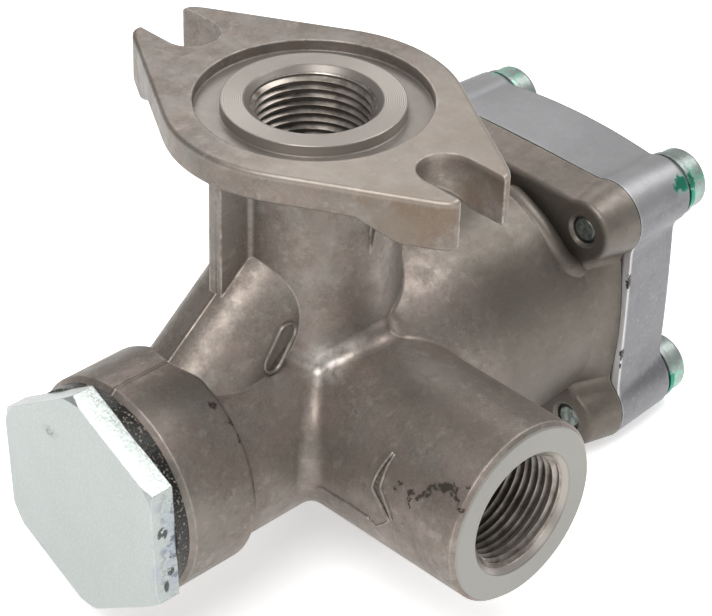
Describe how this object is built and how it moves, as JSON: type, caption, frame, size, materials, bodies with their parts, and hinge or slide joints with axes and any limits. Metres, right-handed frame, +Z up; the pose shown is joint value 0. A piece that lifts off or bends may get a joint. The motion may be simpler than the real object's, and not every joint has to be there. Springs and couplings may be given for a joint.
{
  "type": "pressure limiting valve",
  "caption": "Cast pressure limiting valve with slotted top flange, two threaded ports at right angles, hex plug, square spring cover with corner screws, working piston and inlet valve.",
  "frame": {"origin": "centre of the flange's top face, on the axis of port 1 and midway between the two slots", "axes": "+Z up out of port 1; -Y is the way port 2 opens and the flange's long way; the piston slides along X, with the hex plug at -X and the spring cover at +X"},
  "size_m": [0.1231, 0.0866, 0.0823],
  "materials": {
    "cast": "chromated die casting",
    "cover": "bare die casting",
    "zinc": "zinc plated",
    "steel": "plain",
    "spring": "oiled spring steel",
    "brass": "machined",
    "machined": "machined",
    "rubber": "matt",
    "ptfe": "filled PTFE"
  },
  "bodies": {
    "housing": {"body": "cast", "cover": "cover", "cover_screws": "zinc", "cover_seal": "rubber", "hex_plug": "zinc", "plug_seal": "rubber", "stem_o_ring": "rubber", "rod_bush": "brass", "valve_spring": "spring", "control_spring": "spring", "spring_plate": "zinc", "adjusting_shims": "steel", "vent_flap": "rubber"},
    "piston_group": {"piston": "machined", "push_tube": "steel", "piston_o_ring": "rubber", "piston_guide_ring": "ptfe", "tube_o_ring": "rubber", "spring_washer": "steel"},
    "inlet_group": {"inlet_valve": "brass", "valve_rubber": "rubber"}
  },
  "joints": [
    {"name": "piston_slide", "type": "slide", "parent": "housing", "child": "piston_group", "axis": [1, 0, 0], "range_m": [0, 0.00195], "stiffness_N_per_m": 34000, "deforming": ["control_spring"]},
    {"name": "inlet_slide", "type": "slide", "parent": "housing", "child": "inlet_group", "axis": [1, 0, 0], "range_m": [0, 0.00195], "deforming": ["valve_spring"]}
  ],
  "couplings": [
    {"joint": "inlet_slide", "follows": "piston_slide", "ratio": 1}
  ]
}
